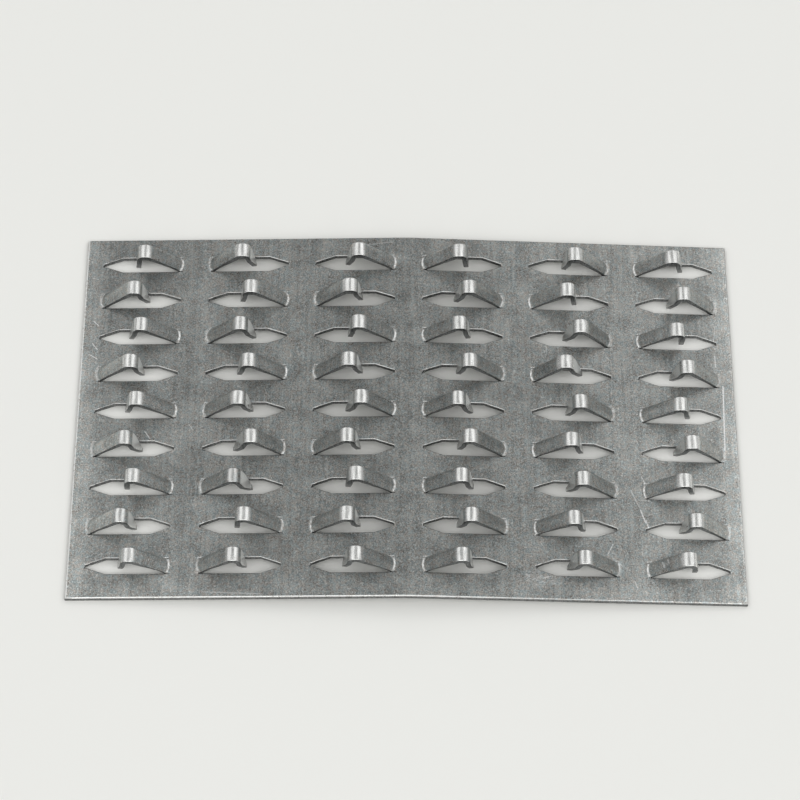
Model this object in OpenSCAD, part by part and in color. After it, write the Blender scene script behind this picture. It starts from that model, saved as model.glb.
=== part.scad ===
// Truss nail plate: one galvanised steel sheet, lanced and folded into rows of teeth,
// and bowed a little across its middle so that it lies on its two short edges.

/* [Sheet] */
// Length of the sheet along X, measured over its bow
sheet_l = 127; // [60:0.5:200]
// Width of the sheet along Y
sheet_w = 76.2; // [30:0.2:120]
// Thickness of the steel, the same in sheet and teeth
sheet_t = 1; // [0.7:0.05:1.2]

/* [Bow] */
// Angle between each wing of the sheet and the floor
wing_angle = 2.6; // [0.5:0.1:8]
// Flat land left between the bend and the slots beside it
bend_land = 0.2; // [0.1:0.05:1]

/* [Tooth pattern] */
// Least land between the outermost slots and the sheet's edges: as many slots are cut as fit inside it
edge_land = 2; // [1:0.1:2.9]
// Distance between columns, centre to centre
column_pitch = 21; // [19:0.1:24]
// Distance between rows, centre to centre
row_pitch = 8; // [5:0.1:12]
// How far the pattern is off the sheet's centre along X
pattern_dx = 0.26; // [-0.6:0.02:0.6]
// How far the pattern is off the sheet's centre along Y
pattern_dy = 0.35; // [-1:0.05:1]

/* [Slot] */
// Length of a slot from the tooth's root to its point
slot_l = 15.5; // [14.5:0.1:17]
// Width of a slot
slot_w = 3.1; // [2.4:0.1:4]
// Length over which a slot, and the tooth cut from it, narrows to its point
point_l = 3.8; // [1:0.1:4.4]
// Width left at the point
point_w = 0.3; // [0.1:0.05:0.8]

/* [Tooth] */
// Shear clearance between a tooth and each side of its slot
shear_gap = 0.05; // [0.02:0.01:0.15]
// Inside radius of the fold at the root
root_r = 1.2; // [0.5:0.1:2]
// Angle at which a tooth climbs from the sheet
climb_angle = 45; // [35:1:50]
// Straight length of the climb
climb_l = 7.1; // [6:0.1:7.4]
// Inside radius of the bend at the crest
crest_r = 0.6; // [0.3:0.05:0.9]
// Angle below the sheet at which the leg comes down
leg_angle = 76; // [60:1:85]

/* [Hidden] */

steel = [0.62, 0.65, 0.66];
arc_step = 7.5; // degrees between the points of a tooth's bends
root_hold = 0.6; // how far a tooth's root runs into the sheet
reach = 1; // how far a cutter runs past what it cuts
spare_bend = 0.5; // degrees that each half of the bend has to spare where it is cut at X = 0

// Columns of teeth on each wing, and rows across the sheet
half_columns = floor((sheet_l / 2 - edge_land - abs(pattern_dx) + (column_pitch - slot_l) / 2) / column_pitch);
rows = floor((sheet_w - 2 * edge_land - 2 * abs(pattern_dy) + row_pitch - slot_w) / row_pitch);

// The bend fills what the two middle columns leave between them
bend_half = (column_pitch - slot_l) / 2 - abs(pattern_dx) - bend_land;
bend_r = bend_half / sin(wing_angle);
bend_arc = arc_length(bend_r + sheet_t / 2, wing_angle);
wing_l = sheet_l / 2 - bend_arc;

// A tooth keeps the length that the slot gave it, so its leg is what the folds leave over
tooth_w = slot_w - 2 * shear_gap;
crest_turn = climb_angle + leg_angle;
root_arc = arc_length(root_r + sheet_t / 2, climb_angle);
crest_arc = arc_length(crest_r + sheet_t / 2, crest_turn);
leg_l = slot_l - root_arc - climb_l - crest_arc;

// Bend centres in the tooth's side view: x from the root, z from the underside
root_c = [0, sheet_t + root_r];
crest_c = root_c + (root_r + crest_r + sheet_t) * [sin(climb_angle), -cos(climb_angle)]
    + climb_l * [cos(climb_angle), sin(climb_angle)];
leg_dir = [cos(leg_angle), -sin(leg_angle)];

function arc_length(r, angle) = r * angle * PI / 180;

// Points on an arc about centre c, both ends included
function arc(c, r, from, to) =
    let (steps = ceil(abs(to - from) / arc_step))
    [for (i = [0:steps]) let (a = from + (to - from) * i / steps) c + r * [cos(a), sin(a)]];

function tooth_side() =
    let (
        up = climb_angle - 90,
        over = climb_angle + 90,
        down = 90 - leg_angle,
        outer = arc(crest_c, crest_r + sheet_t, over, down),
        inner = arc(crest_c, crest_r, down, over),
        leg = leg_l * leg_dir
    )
    concat(
        [[-root_hold, sheet_t]],
        arc(root_c, root_r, -90, up),
        outer,
        [outer[len(outer) - 1] + leg, inner[0] + leg],
        inner,
        arc(root_c, root_r + sheet_t, up, -90),
        [[-root_hold, 0]]
    );

module slot_cut() {
    full_l = slot_l - point_l;
    translate([0, 0, -reach])
        linear_extrude(sheet_t + 2 * reach)
            polygon([
                [0, -slot_w / 2], [full_l, -slot_w / 2], [slot_l, -point_w / 2],
                [slot_l, point_w / 2], [full_l, slot_w / 2], [0, slot_w / 2]
            ]);
}

// What is sheared off one side of a leg, in the plane of the leg
module point_cut() {
    slope = (tooth_w - point_w) / 2 / point_l;
    from = leg_l - point_l;
    linear_extrude(4 * sheet_t, center = true)
        polygon([
            [from - reach, tooth_w / 2 + reach * slope],
            [leg_l + reach, point_w / 2 - reach * slope],
            [leg_l + reach, tooth_w + reach],
            [from - reach, tooth_w + reach]
        ]);
}

// One tooth, its root at x = 0 and its crest towards +X, on a sheet whose underside is z = 0
module tooth() {
    difference() {
        rotate([90, 0, 0])
            linear_extrude(tooth_w, center = true)
                polygon(tooth_side());
        for (side = [0, 1])
            translate([crest_c[0], 0, crest_c[1]])
                rotate([0, leg_angle, 0])
                    translate([0, 0, crest_r + sheet_t / 2])
                        mirror([0, side, 0])
                            point_cut();
    }
}

// Puts its child at every place of a wing's pattern, with roots inward and outward by turns
module over_pattern(dx) {
    for (column = [0:half_columns - 1], row = [0:rows - 1]) {
        x = (column + 0.5) * column_pitch + dx - bend_arc;
        y = ((rows - 1) / 2 - row) * row_pitch + pattern_dy;
        outward = (column + row) % 2 == 0 ? 1 : -1;
        translate([x - outward * slot_l / 2, y, 0])
            mirror([outward < 0 ? 1 : 0, 0, 0])
                children();
    }
}

// The flat of a wing and its half of the bend, from the bend's start at x = 0
module blank() {
    translate([0, -sheet_w / 2, 0])
        cube([wing_l, sheet_w, sheet_t]);
    translate([0, sheet_w / 2, -bend_r])
        rotate([90, -90, 0])
            rotate_extrude(angle = wing_angle + spare_bend, $fn = 360)
                translate([bend_r, 0])
                    square([sheet_t, sheet_w]);
}

// One wing, from the middle of the sheet towards +X
module wing(dx) {
    difference() {
        translate([bend_half, 0, wing_l * sin(wing_angle)])
            rotate([0, wing_angle, 0]) {
                difference() {
                    blank();
                    over_pattern(dx) slot_cut();
                }
                over_pattern(dx) tooth();
            }
        translate([-reach, 0, 0])
            cube([2 * reach, 2 * sheet_w, 4 * sheet_l], center = true);
    }
}

module nail_plate() {
    color(steel)
        union() {
            wing(pattern_dx);
            mirror([1, 0, 0]) wing(-pattern_dx);
        }
}

nail_plate();
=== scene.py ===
import math
import random

import bmesh
import bpy
from mathutils import Matrix, Vector


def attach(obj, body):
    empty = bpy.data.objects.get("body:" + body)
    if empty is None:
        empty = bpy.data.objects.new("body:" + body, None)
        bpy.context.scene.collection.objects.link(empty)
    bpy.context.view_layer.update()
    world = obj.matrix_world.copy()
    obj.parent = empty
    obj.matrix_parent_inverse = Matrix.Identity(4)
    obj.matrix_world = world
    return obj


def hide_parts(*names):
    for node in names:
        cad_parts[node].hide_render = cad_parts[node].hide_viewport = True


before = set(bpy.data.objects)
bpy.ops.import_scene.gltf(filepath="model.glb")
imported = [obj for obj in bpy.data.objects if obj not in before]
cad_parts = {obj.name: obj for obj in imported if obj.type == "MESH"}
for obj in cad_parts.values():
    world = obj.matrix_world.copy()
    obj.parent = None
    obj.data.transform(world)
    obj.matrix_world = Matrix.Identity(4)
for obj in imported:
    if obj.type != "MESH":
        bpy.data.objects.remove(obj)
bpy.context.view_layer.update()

metresPerMm = 0.001  # the plate is modelled in millimetres and scaled once at the end

# The sheet, flat, before it is bowed
sheet = {
    "length": 127.0,
    "width": 76.2,
    "thickness": 1.0,
    "wingAngle": 2.6,      # degrees, each half against the floor
    "bendHalf": 2.29,      # the bow is bent over this much on each side of the middle
    "bendSteps": 4,
    "rimRound": 0.35,      # rounding of the sheet's own upper edges
    "upperRound": 0.2,     # of the upper edges of slots and teeth
    "lowerRound": 0.1,     # of all the lower edges
    "roundSteps": 3,
    "sharpAngle": 50,      # degrees between two faces from which their edge is rounded
    "slotHighlight": 0.6,     # how bright the painted highlight on the rounded back edges of the slots is
    "keptX": 0.4,          # edges this near to the corner of a root stay sharp
    "keptY": 0.2,
}

# How the teeth are laid out
pattern = {
    "columns": 6,
    "rows": 9,
    "columnPitch": 21.0,
    "rowPitch": 8.0,
    "shiftX": 0.26,
    "shiftY": 0.35,
}

slot = {
    "length": 15.5,
    "width": 3.1,
    "pointLength": 3.8,
    "pointWidth": 0.5,
    "border": 0.35,        # width of the narrow faces along its sides
}

tooth = {
    "width": 3.0,                  # past its root, where it is as wide as the slot
    "linesAcross": (0, 0.55, 1.1),
    "rootRadius": 0.9,             # of the upper face
    "rootShift": 0.58,             # how far the fold's line bulges into the sheet in mid-width
    "rootReach": 6.5,              # how far up the climb that bulge fades out
    "rootBack": 2.5,               # and how far into the sheet it may start
    "rootSteps": 6,
    "rootLines": (0.2, 0.4, 0.6, 0.8, 1.0, 1.25),
    "climbAngle": 45.0,
    "climbLength": 7.22,
    "climbSteps": 8,
    "crestRadius": 1.6,            # of the outer face
    "crestSteps": 14,
    "legAngle": 78.5,
    "length": 15.5,                # of the flat strip that it is folded from
    "legSteps": 3,
    "leastStraight": 0.05,         # of a leg, above where it tapers
    "tipWidth": 0.7,
    "paintedHighlight": {1: 1.0, -1: 0.4},   # how bright the painted highlight on the top of a leg is, by the way the tooth points
    "spread": {"climbAngle": 0.9, "climbLength": 0.16, "legAngle": 5.0},
    "seed": 7,                     # of that spread
}

# Teeth that stand plainly apart from the rest, by column and row from the top left
oddTeeth = {
    (1, 6): {"climbLength": 6.55, "legAngle": 70},
    (2, 4): {"climbAngle": 49, "climbLength": 6.6, "legAngle": 71},
    (1, 5): {"climbAngle": 50, "climbLength": 6.3, "legAngle": 66},
    (4, 3): {"climbAngle": 53, "climbLength": 6.75, "legAngle": 63},
    (3, 4): {"climbAngle": 47, "climbLength": 6.6, "legAngle": 70},
    (0, 5): {"climbLength": 6.9, "legAngle": 75},
    (0, 7): {"climbLength": 6.9, "legAngle": 79},
    (0, 3): {"climbLength": 7.3, "legAngle": 81},
    (4, 2): {"climbAngle": 49, "climbLength": 6.75, "legAngle": 73},
    (4, 4): {"climbLength": 7.1, "legAngle": 81},
}


# Each tooth's column, row, slot centre and the way it points from its root
def toothPlaces():
    for column in range(pattern["columns"]):
        for row in range(pattern["rows"]):
            x = (column - (pattern["columns"] - 1) / 2) * pattern["columnPitch"] + pattern["shiftX"]
            y = ((pattern["rows"] - 1) / 2 - row) * pattern["rowPitch"] + pattern["shiftY"]
            way = -1 if (column + row) % 2 == 0 else 1
            yield column, row, x, y, way


def cutAcross(bm, place, normal, faces=None):
    if faces is None:
        geom = bm.verts[:] + bm.edges[:] + bm.faces[:]
    else:
        verts = dict.fromkeys(v for f in faces for v in f.verts)
        edges = dict.fromkeys(e for f in faces for e in f.edges)
        geom = [*verts, *edges, *faces]
    bmesh.ops.bisect_plane(bm, geom=geom, dist=0.0005, plane_co=place, plane_no=normal)


def facesWithin(bm, lowX, highX, lowY, highY):
    found = []
    for f in bm.faces:
        c = f.calc_center_median()
        if lowX < c.x < highX and lowY < c.y < highY:
            found.append(f)
    return found


def layOutSheet(bm):
    bmesh.ops.create_grid(bm, x_segments=1, y_segments=1, size=0.5)
    bmesh.ops.scale(bm, vec=(sheet["length"], sheet["width"], 1), verts=bm.verts)
    half = slot["length"] / 2
    linesX = set()
    linesY = set()
    for column, row, x, y, way in toothPlaces():
        for out in (half - slot["pointLength"], half, *(half + line for line in tooth["rootLines"])):
            linesX.update((round(x - out, 4), round(x + out, 4)))
        for out in (*tooth["linesAcross"], slot["width"] / 2, slot["width"] / 2 + slot["border"]):
            linesY.update((round(y - out, 4), round(y + out, 4)))
    for i in range(sheet["bendSteps"]):
        line = sheet["bendHalf"] * (i + 0.5) / sheet["bendSteps"]
        linesX.update((line, -line))
    for x in sorted(linesX):
        cutAcross(bm, (x, 0, 0), (1, 0, 0))
    for y in sorted(linesY):
        cutAcross(bm, (0, y, 0), (0, 1, 0))


# Shears one slot out of the flat sheet and returns the edges that its tooth grows from
def shearSlot(bm, faces, x, y, way):
    halfL = slot["length"] / 2
    halfW = slot["width"] / 2
    taperStart = x + way * (halfL - slot["pointLength"])
    tip = x + way * halfL
    near, far = min(taperStart, tip), max(taperStart, tip)
    slope = (halfW - slot["pointWidth"] / 2) / slot["pointLength"]
    for side in (-1, 1):
        lowY, highY = (y, y + halfW) if side > 0 else (y - halfW, y)
        corner = [f for f in faces if f.is_valid and near < f.calc_center_median().x < far
                  and lowY < f.calc_center_median().y < highY]
        cutAcross(bm, (taperStart, y + side * halfW, 0), (way * slope, side, 0), corner)
    waste = []
    for f in facesWithin(bm, x - halfL, x + halfL, y - halfW, y + halfW):
        c = f.calc_center_median()
        past = max(0.0, (c.x - taperStart) * way)
        if abs(c.y - y) < halfW - past * slope:
            waste.append(f)
    bmesh.ops.delete(bm, geom=waste, context="FACES")
    root = x - way * halfL
    reach = halfW + 0.01
    return [e for e in bm.edges
            if all(abs(v.co.x - root) < 0.001 and abs(v.co.y - y) < reach for v in e.verts)]


def edgeVerts(edges):
    return list(dict.fromkeys(v for e in edges for v in e.verts))


def turnEdges(bm, edges, centre, axis, angle, steps):
    made = bmesh.ops.spin(bm, geom=edgeVerts(edges) + edges, cent=centre, axis=axis,
                          angle=angle, steps=steps, use_merge=False, use_duplicate=False)
    return [g for g in made["geom_last"] if isinstance(g, bmesh.types.BMEdge)]


def runEdges(bm, edges, move):
    made = bmesh.ops.extrude_edge_only(bm, edges=edges)
    edges = [g for g in made["geom"] if isinstance(g, bmesh.types.BMEdge)
             and g.calc_length() > 0 and not g.link_faces[1:]]
    bmesh.ops.translate(bm, vec=move, verts=edgeVerts(edges))
    return edges


# One tooth's own measures: the general ones, spread a little, or its own where it stands apart
def toothShape(column, row, chance):
    shape = {name: tooth[name] + part * chance.uniform(-1, 1) for name, part in tooth["spread"].items()}
    shape.update(oddTeeth.get((column, row), {}))
    climb = math.radians(shape["climbAngle"])
    leg = math.radians(shape["legAngle"])
    middle = sheet["thickness"] / 2
    folds = (tooth["rootRadius"] + middle) * climb + (tooth["crestRadius"] - middle) * (climb + leg)
    return climb, leg, shape["climbLength"], tooth["length"] - folds - shape["climbLength"]


def widen(bm, edges, y, ratio):
    about = Matrix.Translation(Vector((0, -y, 0)))
    bmesh.ops.scale(bm, vec=(1, ratio, 1), space=about, verts=edgeVerts(edges))


# Sets the painted highlight on the vertices of a strip's edges
def paintTopHighlight(bm, edges, strength):
    paintedHighlight = bm.verts.layers.float["paintedHighlight"]
    for v in edgeVerts(edges):
        v[paintedHighlight] = strength


# Folds one tooth up from the root edges: a fold, the climb, the crest and the tapered leg
def foldTooth(bm, edges, x, y, way, shape):
    climb, leg, climbLength, legLength = shape
    root = x - way * slot["length"] / 2
    edges = turnEdges(bm, edges, (root, y, tooth["rootRadius"]), (0, -way, 0), climb, tooth["rootSteps"])
    run = Vector((way * math.cos(climb), 0, math.sin(climb)))
    for step in range(tooth["climbSteps"]):
        edges = runEdges(bm, edges, run * climbLength / tooth["climbSteps"])
        if step == 0:
            widen(bm, edges, y, tooth["width"] / slot["width"])
    top = edgeVerts(edges)
    middle = sum((v.co for v in top), Vector()) / len(top)
    normal = Vector((-way * math.sin(climb), 0, math.cos(climb)))
    centre = middle - normal * tooth["crestRadius"]
    edges = turnEdges(bm, edges, centre, (0, way, 0), climb + leg, tooth["crestSteps"])
    run = Vector((way * math.cos(leg), 0, -math.sin(leg)))
    # The top of the leg gets a painted highlight, which fades out along its taper
    paintTopHighlight(bm, edges, tooth["paintedHighlight"][way])
    straight = legLength - slot["pointLength"]
    if straight > tooth["leastStraight"]:
        edges = runEdges(bm, edges, run * straight)
    taper = min(slot["pointLength"], legLength)
    width = tooth["width"]
    for step in range(tooth["legSteps"]):
        edges = runEdges(bm, edges, run * taper / tooth["legSteps"])
        share = (step + 1) / tooth["legSteps"]
        paintTopHighlight(bm, edges, tooth["paintedHighlight"][way] * (1 - share))
        newWidth = tooth["width"] + (tooth["tipWidth"] - tooth["width"]) * share
        widen(bm, edges, y, newWidth / width)
        width = newWidth


# Height of the upper face past the line where the flat sheet and the climb would meet
def foldHeight(along):
    climb = math.radians(tooth["climbAngle"])
    start = tooth["rootRadius"] * math.tan(climb / 2)
    if along < -start:
        return 0
    if along < start * math.cos(climb):
        return tooth["rootRadius"] - math.sqrt(tooth["rootRadius"] ** 2 - (along + start) ** 2)
    return along * math.tan(climb)


# The fold's line bulges into the sheet in mid-width, which leaves a crescent beside the root
def bulgeRoots(bm):
    halfW = slot["width"] / 2
    crease = tooth["rootRadius"] * math.tan(math.radians(tooth["climbAngle"]) / 2)
    cell = 4           # the squares that vertices are sorted into
    steepest = 1.45    # rise of the steepest climb: crests and legs lie above it
    cells = {}
    for v in bm.verts:
        cells.setdefault((round(v.co.x / cell), round(v.co.y / cell)), []).append(v)
    for column, row, x, y, way in toothPlaces():
        root = x - way * slot["length"] / 2
        cellX, cellY = round(root / cell), round(y / cell)
        near = [v for i in (-2, -1, 0, 1, 2) for j in (-1, 0, 1)
                for v in cells.get((cellX + i, cellY + j), ())]
        for v in near:
            across = abs(v.co.y - y) / halfW
            along = (v.co.x - root) * way - crease
            if across > 1 or not -tooth["rootBack"] < along < tooth["rootReach"]:
                continue
            onSheet = along > 0 and v.co.z < 0.02
            if onSheet or v.co.z > along * steepest + sheet["thickness"]:
                continue
            fade = min(1.0, 1 - along / tooth["rootReach"])
            shift = tooth["rootShift"] * (1 - across ** 2) * fade ** 2 * (3 - 2 * fade)
            v.co.z += foldHeight(along + shift) - foldHeight(along)


def bowSheet(bm):
    flat = {v: v.co.x for v in bm.verts}
    step = math.radians(sheet["wingAngle"]) / sheet["bendSteps"]
    for i in reversed(range(sheet["bendSteps"])):
        line = sheet["bendHalf"] * (i + 0.5) / sheet["bendSteps"]
        for side in (-1, 1):
            beyond = [v for v in bm.verts if flat[v] * side > line + 0.001]
            turn = Matrix.Rotation(step * side, 3, "Y")
            bmesh.ops.rotate(bm, cent=(side * line, 0, 0), matrix=turn, verts=beyond)


# Faces that the shears left: the walls of slots, the sides and ends of teeth and the sheet's rim
def findSheared(bm):
    found = []
    for f in bm.faces:
        n = f.normal
        sideways = abs(n.y) > 0.85
        endways = abs(n.x) > 0.9 and abs(n.z) < 0.12
        if sideways or endways:
            found.append(f)
    return found


# Rounds the edges beside sheared faces, up to where a tooth leaves the sheet
def roundEdges(bm):
    roots = [(x - way * slot["length"] / 2, y) for column, row, x, y, way in toothPlaces()]
    cell = 2    # the squares that the roots are sorted into
    corners = {}
    for x, y in roots:
        for side in (-1, 1):
            corner = (x, y + side * slot["width"] / 2)
            corners.setdefault((round(x / cell), round(y / cell)), []).append(corner)
    groups = {"rimRound": [], "upperRound": [], "lowerRound": []}
    paintedHighlight = bm.verts.layers.float["paintedHighlight"]
    sharp = math.radians(sheet["sharpAngle"])
    for e in bm.edges:
        if len(e.link_faces) != 2 or e.calc_face_angle() < sharp:
            continue
        middle = (e.verts[0].co + e.verts[1].co) / 2
        cellX, cellY = round(middle.x / cell), round(middle.y / cell)
        close = [c for i in (-1, 0, 1) for j in (-1, 0, 1)
                 for c in corners.get((cellX + i, cellY + j), ())]
        if any(abs(middle.x - x) < sheet["keptX"] and abs(middle.y - y) < sheet["keptY"] for x, y in close):
            continue
        upper = any(f.normal.z > 0.15 for f in e.link_faces)
        onRim = abs(middle.x) > sheet["length"] / 2 - 0.3 or abs(middle.y) > sheet["width"] / 2 - 0.1
        groups["lowerRound" if not upper else "rimRound" if onRim else "upperRound"].append(e)
        # The rounded back edges of slots, which face the front, get a painted highlight
        besideSheet = middle.z < 2 and max(f.normal.z for f in e.link_faces) > 0.99
        facesFront = min(f.normal.y for f in e.link_faces) < -0.3
        if besideSheet and facesFront and not onRim:
            for v in e.verts:
                v[paintedHighlight] = sheet["slotHighlight"]
    for name, edges in groups.items():
        edges = [e for e in edges if e.is_valid]
        made = bmesh.ops.bevel(bm, geom=edges, offset=sheet[name], offset_type="OFFSET",
                               segments=sheet["roundSteps"], profile=0.5, affect="EDGES",
                               clamp_overlap=False, material=-1)
        bm.normal_update()
        least = 0.3 if name == "rimRound" else 0.8    # how far up a strip faces that stays zinc
        for f in made["faces"]:
            if f.normal.z > least and (name == "rimRound" or any(v[paintedHighlight] for v in f.verts)):
                f.material_index = 0
        print(name, len(edges), "edges")
    for v in bm.verts:
        if v[paintedHighlight] and any(f.normal.z > 0.99 for f in v.link_faces):
            v[paintedHighlight] = 0
    print("open edges:", sum(1 for e in bm.edges if len(e.link_faces) != 2))


def buildPlate():
    bm = bmesh.new()
    bm.verts.layers.float.new("paintedHighlight")
    layOutSheet(bm)
    print("sheet laid out:", len(bm.faces), "faces")
    chance = random.Random(tooth["seed"])
    for column, row, x, y, way in toothPlaces():
        halfL = slot["length"] / 2
        faces = facesWithin(bm, x - halfL, x + halfL, y - slot["width"] / 2, y + slot["width"] / 2)
        edges = shearSlot(bm, faces, x, y, way)
        foldTooth(bm, edges, x, y, way, toothShape(column, row, chance))
    print("teeth folded:", len(bm.faces), "faces")
    bulgeRoots(bm)
    bowSheet(bm)
    bmesh.ops.recalc_face_normals(bm, faces=bm.faces)
    if sum(f.normal.z for f in bm.faces) < 0:
        bmesh.ops.reverse_faces(bm, faces=bm.faces)
    bmesh.ops.solidify(bm, geom=bm.faces[:], thickness=sheet["thickness"])
    bm.normal_update()
    for f in findSheared(bm):
        f.material_index = 1
    roundEdges(bm)
    low = min(v.co.z for v in bm.verts)
    bmesh.ops.translate(bm, vec=(0, 0, -low), verts=bm.verts)
    bmesh.ops.scale(bm, vec=(metresPerMm,) * 3, verts=bm.verts)
    mesh = bpy.data.meshes.new("nailPlate")
    bm.to_mesh(mesh)
    bm.free()
    piece = bpy.data.objects.new("nailPlate", mesh)
    bpy.context.collection.objects.link(piece)
    mesh.shade_smooth()
    flats = piece.modifiers.new("flats", "WEIGHTED_NORMAL")
    flats.keep_sharp = True
    flats.weight = 100
    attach(piece, "root")
    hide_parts("nail_plate")
    return piece


plate = buildPlate()
print("plate built:", len(plate.data.polygons), "faces")


# A number that varies over a surface, so that plain expressions add the nodes
class Value:
    def __init__(self, paint, socket):
        self.paint = paint
        self.socket = socket

    def __add__(self, other):
        return self.paint.number("ADD", self, other)

    def __radd__(self, other):
        return self.paint.number("ADD", other, self)

    def __sub__(self, other):
        return self.paint.number("SUBTRACT", self, other)

    def __rsub__(self, other):
        return self.paint.number("SUBTRACT", other, self)

    def __mul__(self, other):
        return self.paint.number("MULTIPLY", self, other)

    def __rmul__(self, other):
        return self.paint.number("MULTIPLY", other, self)

    def __abs__(self):
        return self.paint.number("ABSOLUTE", self)


# The nodes that are added to one material or world, and its coordinates of one kind
class Paint:
    def __init__(self, owner, kind, scale):
        owner.use_nodes = True
        self.tree = owner.node_tree
        place = Value(self, self.node("ShaderNodeTexCoord").outputs[kind])
        self.place = self.vector("SCALE", place, Scale=scale)

    def node(self, kind, settings=None, inputs=None):
        made = self.tree.nodes.new(kind)
        for name, value in (settings or {}).items():
            setattr(made, name, value)
        for name, value in (inputs or {}).items():
            self.feed(made.inputs[name], value)
        return made

    def feed(self, socket, value):
        if isinstance(value, Value):
            self.tree.links.new(value.socket, socket)
        else:
            socket.default_value = value

    def number(self, operation, *parts):
        made = self.node("ShaderNodeMath", {"operation": operation}, dict(enumerate(parts)))
        return Value(self, made.outputs[0])

    def vector(self, operation, *parts, **inputs):
        inputs = {**dict(enumerate(parts)), **inputs}
        made = self.node("ShaderNodeVectorMath", {"operation": operation}, inputs)
        numbers = operation in ("DOT_PRODUCT", "DISTANCE", "LENGTH")
        return Value(self, made.outputs["Value" if numbers else "Vector"])

    def axes(self, vector):
        made = self.node("ShaderNodeSeparateXYZ", None, {0: vector})
        return [Value(self, made.outputs[i]) for i in range(3)]

    def blend(self, share, first, second):
        made = self.node("ShaderNodeMix", {"data_type": "RGBA"})
        self.feed(made.inputs["Factor"], share)
        for socket, value in ((made.inputs[6], first), (made.inputs[7], second)):
            self.feed(socket, value if isinstance(value, Value) else (*value, 1))
        return Value(self, made.outputs[2])

    # Goes smoothly from low to high as a value goes from start to end
    def rise(self, value, start, end, low=0.0, high=1.0):
        inputs = {"Value": value, "From Min": start, "From Max": end, "To Min": low, "To Max": high}
        made = self.node("ShaderNodeMapRange", {"interpolation_type": "SMOOTHSTEP"}, inputs)
        return Value(self, made.outputs["Result"])

    # Cloudy noise from 0 to 1, its scale in lumps to the unit along each axis
    def noise(self, scale, detail, roughness):
        stretched = self.vector("MULTIPLY", self.place, scale)
        made = self.node("ShaderNodeTexNoise", None,
                         {"Vector": stretched, "Scale": 1.0, "Detail": detail, "Roughness": roughness})
        return Value(self, made.outputs["Fac"])

    # Falls from 1 on a straight line between two places to 0 at its width
    def stroke(self, start, end, width):
        start, end = Vector((*start, 0)), Vector((*end, 0))
        way = end - start
        flat = self.vector("MULTIPLY", self.place, (1, 1, 0))
        past = self.vector("SUBTRACT", flat, start)
        along = self.vector("DOT_PRODUCT", past, way / way.length_squared)
        along = self.number("MINIMUM", self.number("MAXIMUM", along, 0), 1)
        nearest = self.vector("SCALE", way, Scale=along)
        return 1 - self.rise(self.vector("DISTANCE", past, nearest), width * 0.3, width)

    # Puts a steel's colour, roughness and relief, in millimetres, on its shader
    def finish(self, colour, roughness, relief, metallic):
        shader = self.tree.nodes["Principled BSDF"]
        bump = self.node("ShaderNodeBump", None,
                         {"Height": relief * metresPerMm, "Strength": 0.6, "Distance": 1.0})
        self.feed(shader.inputs["Base Color"], colour)
        self.feed(shader.inputs["Roughness"], roughness)
        self.feed(shader.inputs["Normal"], Value(self, bump.outputs["Normal"]))
        shader.inputs["Metallic"].default_value = metallic


# Dull zinc with fine grain, faint drawn streaks, dark pits, scratches and burnished crests, with painted
# highlights on its folds, rims, leg tops and slot edges and painted shade on its teeth.
# Each noise has its scale in lumps to the millimetre along each axis
zinc = {
    "dark": (0.17, 0.175, 0.172),
    "light": (0.5, 0.508, 0.497),
    "speck": (0.78, 0.79, 0.77),
    "warm": (1.08, 1.0, 0.94),
    "cool": (0.91, 1.0, 1.03),
    "crest": (0.84, 0.84, 0.82),
    "scratch": (0.95, 0.95, 0.94),
    "pit": (0.12, 0.125, 0.13),
    "grain": {"scale": (4.6, 4.2, 4.6), "detail": 3.0, "roughness": 0.65},
    "mottle": {"scale": (0.22, 0.3, 0.22), "detail": 3.0, "roughness": 0.6},
    "streaks": {"scale": (1.7, 0.07, 1.7), "detail": 2.0, "roughness": 0.6},
    "tint": {"scale": (1.6, 1.6, 1.6), "detail": 2.0, "roughness": 0.7},
    "burnish": {"scale": (5.0, 0.5, 5.0), "detail": 2.0, "roughness": 0.6},
    "specks": {"scale": (3.6, 3.0, 3.6), "detail": 1.0, "roughness": 0.5},
    "grainShare": 0.62,         # of the tone that lies between dark and light
    "mottleShare": 0.2,
    "streakShare": 0.18,
    "toneSpan": (0.35, 0.66),   # what the three add up to where it is darkest and lightest
    "tintSpan": (0.35, 0.65),
    "speckSpan": (0.58, 0.72),
    "speckStrength": 0.5,
    "pitSpacing": 3.5,
    "pitSize": 0.2,
    "pitStrength": 0.75,
    "metallic": 0.66,
    "roughness": 0.3,
    "roughSpread": 0.12,
    "crestSmooth": 0.03,        # how much less rough the crests are
    "grainHeight": 0.012,       # relief, in millimetres
    "mottleHeight": 0.02,
    "burnishHeight": 0.01,
    "pitDepth": 0.02,
    "scratchDepth": 0.01,
    "climbAt": (0.2, 1.4),      # heights above the sheet over which the painted shade of a tooth comes in,
    "crestAt": (4.95, 5.6),     # and its crest gets bright
}

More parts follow.
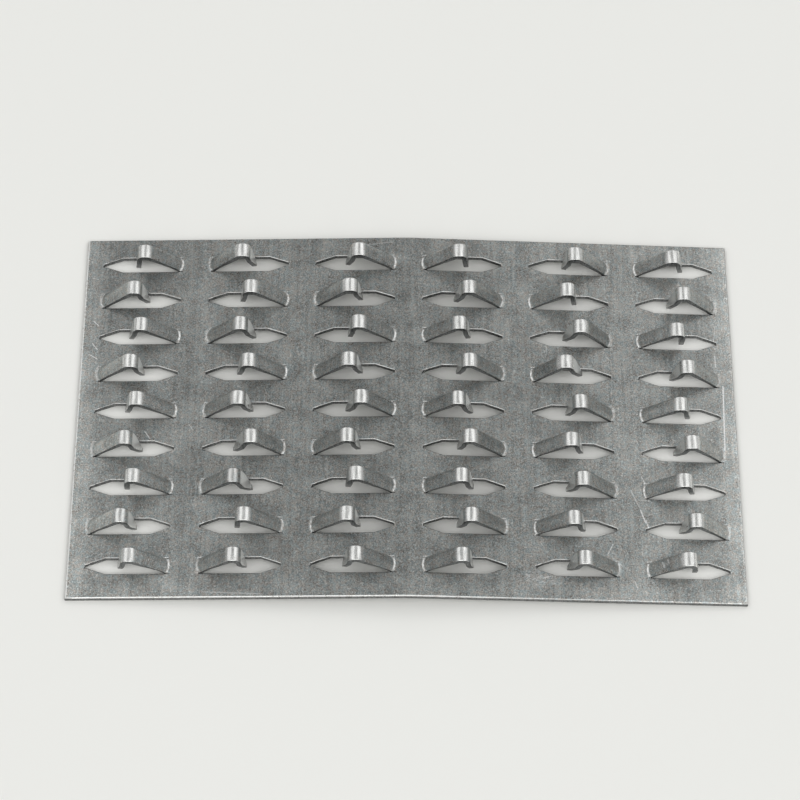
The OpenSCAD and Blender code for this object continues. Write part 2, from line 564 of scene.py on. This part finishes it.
# Scratches in the sheet: start, end, width and strength, in millimetres from the middle
scratches = [
    ((61.3, 7.0), (60.9, -6.5), 0.2, 1.0),
    ((60.0, 13.6), (60.1, 11.2), 0.16, 0.6),
    ((60.4, 20.0), (59.8, 15.5), 0.12, 0.4),
    ((44.1, -19.6), (44.9, -22.0), 0.17, 0.9),
    ((45.0, -21.6), (45.5, -23.2), 0.15, 0.8),
    ((42.4, -15.6), (43.9, -19.0), 0.13, 0.5),
    ((44.5, -12.6), (45.1, -14.0), 0.13, 0.6),
    ((37.6, -28.6), (38.6, -26.6), 0.15, 0.7),
    ((42.4, -34.0), (42.9, -35.6), 0.13, 0.6),
    ((-61.3, 19.9), (-60.3, 18.9), 0.14, 0.8),
    ((-61.3, 15.0), (-60.3, 13.7), 0.14, 0.8),
    ((-61.7, 12.6), (-60.2, 11.6), 0.14, 0.8),
    ((-50.2, -4.0), (-49.1, -5.5), 0.14, 0.8),
    ((-41.7, -2.7), (-41.0, -3.8), 0.12, 0.5),
    ((-62.0, 29.5), (-60.8, 29.2), 0.12, 0.4),
    ((-8.0, 36.4), (-3.0, 37.0), 0.12, 0.4),
    ((-38.0, -36.9), (-27.0, -37.4), 0.14, 0.5),
    ((47.4, -31.0), (47.7, -32.1), 0.2, 0.7),
    ((48.3, -30.8), (48.5, -31.5), 0.17, 0.6),
]

# A patch of short streaks near the front edge
scuff = {
    "middle": (24.0, -34.0, 0),
    "stretch": (0.2, 0.55, 0),
    "fade": (0.3, 1.1),
    "streaks": {"scale": (0.9, 4.5, 0.9), "detail": 3.0, "roughness": 0.7},
    "streakSpan": (0.5, 0.62),
    "strength": 0.6,
    "skipSpan": (0.25, 0.5),    # grain over which scratches and scuff skip and hold
}

# How much brighter or darker the zinc is in some places, and where that comes in; on the teeth this is
# painted shade and light
tones = {
    "endBright": 0.3,           # beside the short edges
    "endAt": (58, 62),
    "frontBright": 0.15,        # along the front edge
    "frontAt": (-37, -33),
    "middleDull": 0.05,         # across the middle
    "middleAt": (5, 40),
    "rightBright": 0.16,        # at the right of the front half
    "rightAt": (25, 50),
    "rightFrontAt": (-5, 5),
    "leftSlope": 0.0065,        # at the left end, brighter with each millimetre to the front
    "leftAt": (-62, -25),
    "toothShade": 0.05,          # painted shade on the teeth against the sheet
    "leftToothLight": 0.2,         # painted light on those in the left column against the rest
    "toothAt": (-60, -42),
}


def brightness(paint, x, y, climb):
    ends = paint.rise(abs(x), *tones["endAt"], 0, tones["endBright"])
    front = paint.rise(y, *tones["frontAt"], tones["frontBright"], 0)
    middle = paint.rise(abs(x), *tones["middleAt"], tones["middleDull"], 0)
    right = paint.rise(x, *tones["rightAt"], 0, tones["rightBright"])
    right = right * paint.rise(y, *tones["rightFrontAt"], 1, 0)
    left = paint.rise(x, *tones["leftAt"], 1, 0) * y * tones["leftSlope"]
    # Painted light on the teeth of the left column, and painted shade on all teeth against the sheet
    leftTeethLight = climb * paint.rise(x, *tones["toothAt"], tones["leftToothLight"], 0)
    return 1 + ends + front - middle + right - left + leftTeethLight - climb * tones["toothShade"]


# How bright the painted highlights on the rims are, where they lie, and how noise breaks up these
# highlights and the crests' burnish
highlightsAndBurnish = {
    "rimLeft": 0.9,
    "rimFront": 0.9,                      # along the left half of the front
    "rimRest": 0.15,                      # along its right half, and at the right
    "rimX": (63.0, 63.15),
    "rimY": (37.7, 37.85),
    "frontAt": (-5, 35),                  # where the front rim goes from the one to the other
    "foldIn": (0.03, 0.08),               # heights above the sheet over which a root fold's painted highlight comes in
    "foldOut": (0.16, 0.36),              # and fades out again
    "rimNoise": (0.3, 0.55, 0.6, 1),      # tint from and to, and how bright from and to
    "foldNoise": (0.38, 0.6, 0.2, 1),
    "crestNoise": (0.3, 0.6, 0.5, 1),     # the same of the burnishing lines
}


# Where it is painted bright: burnished crests, and painted highlights on root folds, rims, the tops of legs
# and the slots' back edges
def burnishAndHighlightMask(paint, x, y, height, crest, tint, lines):
    # Painted highlight on the root folds
    fold = paint.rise(height, *highlightsAndBurnish["foldIn"]) * paint.rise(height, *highlightsAndBurnish["foldOut"], 1, 0)
    nearX, farX = highlightsAndBurnish["rimX"]
    nearY, farY = highlightsAndBurnish["rimY"]
    # Painted highlights on the rims: bright at the left and the left half of the front, faint elsewhere
    left = paint.rise(x, -farX, -nearX, highlightsAndBurnish["rimLeft"], 0)
    right = paint.rise(x, nearX, farX, 0, highlightsAndBurnish["rimRest"])
    front = paint.rise(y, -farY, -nearY, 1, 0)
    front = front * paint.rise(x, *highlightsAndBurnish["frontAt"], highlightsAndBurnish["rimFront"], highlightsAndBurnish["rimRest"])
    rim = (left + right + front) * paint.rise(tint, *highlightsAndBurnish["rimNoise"])
    # Painted highlights on the tops of legs and on the slots' back edges
    paintedHighlight = paint.node("ShaderNodeAttribute", {"attribute_name": "paintedHighlight"})
    crest = crest * paint.rise(lines, *highlightsAndBurnish["crestNoise"])
    fold = fold * paint.rise(tint, *highlightsAndBurnish["foldNoise"])
    return crest + fold + rim + Value(paint, paintedHighlight.outputs["Fac"])


# All the scratches and the scuff, from 0 to 1
def scratched(paint, grain):
    marks = 0
    for start, end, width, strength in scratches:
        marks = paint.stroke(start, end, width) * strength + marks
    past = paint.vector("SUBTRACT", paint.place, scuff["middle"])
    past = paint.vector("MULTIPLY", past, scuff["stretch"])
    patch = 1 - paint.rise(paint.vector("LENGTH", past), *scuff["fade"])
    streaks = paint.rise(paint.noise(**scuff["streaks"]), *scuff["streakSpan"])
    marks = marks + patch * streaks * scuff["strength"]
    return paint.number("MINIMUM", marks * paint.rise(grain, *scuff["skipSpan"]), 1)


def galvanised():
    material = bpy.data.materials.new("galvanisedSteel")
    paint = Paint(material, "Object", 1 / metresPerMm)
    x, y, z = paint.axes(paint.place)
    slope = math.tan(math.radians(sheet["wingAngle"]))
    height = z + abs(x) * slope - sheet["thickness"] - sheet["length"] / 2 * slope
    grain, mottle, streaks, tint, lines, specks = (
        paint.noise(**zinc[name]) for name in ("grain", "mottle", "streaks", "tint", "burnish", "specks"))
    tone = grain * zinc["grainShare"] + mottle * zinc["mottleShare"] + streaks * zinc["streakShare"]
    colour = paint.blend(paint.rise(tone, *zinc["toneSpan"]), zinc["dark"], zinc["light"])
    shade = paint.blend(paint.rise(tint, *zinc["tintSpan"]), zinc["warm"], zinc["cool"])
    colour = paint.vector("MULTIPLY", colour, shade)
    specks = paint.rise(specks, *zinc["speckSpan"]) * zinc["speckStrength"]
    colour = paint.blend(specks, colour, zinc["speck"])
    # The teeth get their painted shade and light through their height above the sheet
    climb = paint.rise(height, *zinc["climbAt"])
    colour = paint.vector("SCALE", colour, Scale=brightness(paint, x, y, climb))
    crest = paint.rise(height, *zinc["crestAt"])
    # Burnished crests, and painted highlights on root folds, rims, leg tops and slots' back edges
    colour = paint.blend(burnishAndHighlightMask(paint, x, y, height, crest, tint, lines), colour, zinc["crest"])
    inputs = {"Vector": paint.place, "Scale": 1 / zinc["pitSpacing"]}
    cells = paint.node("ShaderNodeTexVoronoi", None, inputs)
    size = zinc["pitSize"] / zinc["pitSpacing"]
    pits = 1 - paint.rise(Value(paint, cells.outputs["Distance"]) + tint * size, size * 0.6, size * 1.5)
    colour = paint.blend(pits * zinc["pitStrength"], colour, zinc["pit"])
    marks = scratched(paint, grain)
    colour = paint.blend(marks, colour, zinc["scratch"])
    uneven = (mottle - 0.5) * zinc["roughSpread"] + (tint - 0.5) * zinc["roughSpread"]
    roughness = zinc["roughness"] + uneven - crest * zinc["crestSmooth"]
    relief = grain * zinc["grainHeight"] + mottle * zinc["mottleHeight"]
    relief = relief + lines * crest * zinc["burnishHeight"]
    relief = relief - pits * zinc["pitDepth"] - marks * zinc["scratchDepth"]
    paint.finish(colour, roughness, relief, zinc["metallic"])
    return material


# Walls that the shears left bare, drawn through the sheet's thickness: dark bare steel, darkened further as
# painted shade
shears = {
    "dark": (0.08, 0.082, 0.082),
    "light": (0.24, 0.245, 0.245),
    "lines": {"scale": (5.0, 5.0, 0.6), "detail": 2.0, "roughness": 0.6},
    "lineSpan": (0.3, 0.7),
    "lineHeight": 0.02,
    "roughness": 0.34,
    "roughSpread": 0.3,
    "metallic": 1,
}


def sheared():
    material = bpy.data.materials.new("shearedSteel")
    paint = Paint(material, "Object", 1 / metresPerMm)
    lines = paint.noise(**shears["lines"])
    colour = paint.blend(paint.rise(lines, *shears["lineSpan"]), shears["dark"], shears["light"])
    roughness = shears["roughness"] + (lines - 0.5) * shears["roughSpread"]
    paint.finish(colour, roughness, lines * shears["lineHeight"], shears["metallic"])
    return material


plate.data.materials.append(galvanised())
plate.data.materials.append(sheared())
print("steel painted")


# The floor, the light of the room and the softboxes. Directions are as seen from the plate,
# in degrees round from +X and above the floor
stage = {
    "floorSize": 12.0,
    "floorColour": (0.87, 0.867, 0.835),
    "skyLeft": 0.23,           # how bright the room is at its left
    "skyRight": 0.30,          # and at its right
    "skyAbove": 0.4,           # what is added overhead
    "aboveAt": (0.5, 0.95),    # heights in the sky over which that comes in
    "skyDark": 0.14,           # the dark back of the ceiling, which the flat sheet mirrors
    "darkRound": 94,
    "darkAbove": 57,
    "darkInner": 2,            # degrees from there over which it stays dark
    "darkOuter": 28,           # and by which it has cleared
    "skyTint": (0.985, 1, 1, 1),
    "away": 2.0,               # of every softbox
    "lamps": {
        "softboxRight": {"round": 42, "above": 42, "wide": 1.8, "high": 1.3, "level": 0.84},
        "softboxLeft": {"round": 139, "above": 42, "wide": 1.8, "high": 1.3, "level": 0.76},
        "softboxFront": {"round": 270, "above": 68, "wide": 1.8, "high": 1.1, "level": 0.9},
        "frontRight": {"round": 315, "above": 50, "wide": 1.4, "high": 1.2, "level": 1.45},
        "frontLeft": {"round": 225, "above": 50, "wide": 1.4, "high": 1.2, "level": 1.45},
    },
}


def towards(turn, rise):
    turn, rise = math.radians(turn), math.radians(rise)
    return Vector((math.cos(turn) * math.cos(rise), math.sin(turn) * math.cos(rise), math.sin(rise)))


def paintSky():
    world = bpy.data.worlds.new("studio")
    bpy.context.scene.world = world
    paint = Paint(world, "Generated", 1)
    middle = towards(stage["darkRound"], stage["darkAbove"])
    outer, inner = (math.cos(math.radians(stage[name])) for name in ("darkOuter", "darkInner"))
    dark = paint.rise(paint.vector("DOT_PRODUCT", paint.place, middle), outer, inner)
    x, y, z = paint.axes(paint.place)
    room = paint.rise(x, -1, 1, stage["skyLeft"], stage["skyRight"])
    room = room + paint.rise(z, *stage["aboveAt"], 0, stage["skyAbove"])
    background = paint.tree.nodes["Background"].inputs
    paint.feed(background["Strength"], room + dark * (stage["skyDark"] - room))
    background["Color"].default_value = stage["skyTint"]


def buildStage():
    bpy.ops.mesh.primitive_plane_add(size=stage["floorSize"])
    floor = bpy.context.object
    floor.name = "floor"
    matt = bpy.data.materials.new("floorPaint")
    matt.use_nodes = True
    shader = matt.node_tree.nodes["Principled BSDF"]
    shader.inputs["Base Color"].default_value = (*stage["floorColour"], 1)
    shader.inputs["Roughness"].default_value = 1
    shader.inputs["Specular IOR Level"].default_value = 0
    floor.data.materials.append(matt)
    paintSky()
    for name, box in stage["lamps"].items():
        data = bpy.data.lights.new(name, "AREA")
        data.shape = "RECTANGLE"
        data.size = box["wide"]
        data.size_y = box["high"]
        data.energy = box["level"] * math.pi * box["wide"] * box["high"]
        lamp = bpy.data.objects.new(name, data)
        bpy.context.collection.objects.link(lamp)
        place = towards(box["round"], box["above"])
        lamp.location = place * stage["away"]
        lamp.rotation_euler = (-place).to_track_quat("-Z", "Y").to_euler()


camera = {
    "lens": 106.96,
    "distance": 0.45985,
    "elevation": 64.03,    # degrees above the floor
    "turn": -2.083,        # degrees about the vertical
    "roll": 2.4545,
    "target": (-0.00137, 0.00399, 0),
}


def aimCamera():
    data = bpy.data.cameras.new("camera")
    data.lens = camera["lens"]
    data.sensor_width = 36
    data.clip_start = 0.01
    eye = bpy.data.objects.new("camera", data)
    bpy.context.collection.objects.link(eye)
    rise = math.radians(camera["elevation"])
    turn = math.radians(camera["turn"])
    back = Vector((math.sin(turn) * math.cos(rise), -math.cos(turn) * math.cos(rise), math.sin(rise)))
    right = Vector((math.cos(turn), math.sin(turn), 0))
    up = back.cross(right)
    roll = Matrix.Rotation(math.radians(camera["roll"]), 3, "Z")
    facing = Matrix((right, up, back)).transposed() @ roll
    place = Vector(camera["target"]) + back * camera["distance"]
    eye.matrix_world = Matrix.Translation(place) @ facing.to_4x4()
    bpy.context.scene.camera = eye


buildStage()
aimCamera()
bpy.context.scene.view_settings.view_transform = "Standard"
print("stage set:", len(stage["lamps"]), "lamps")
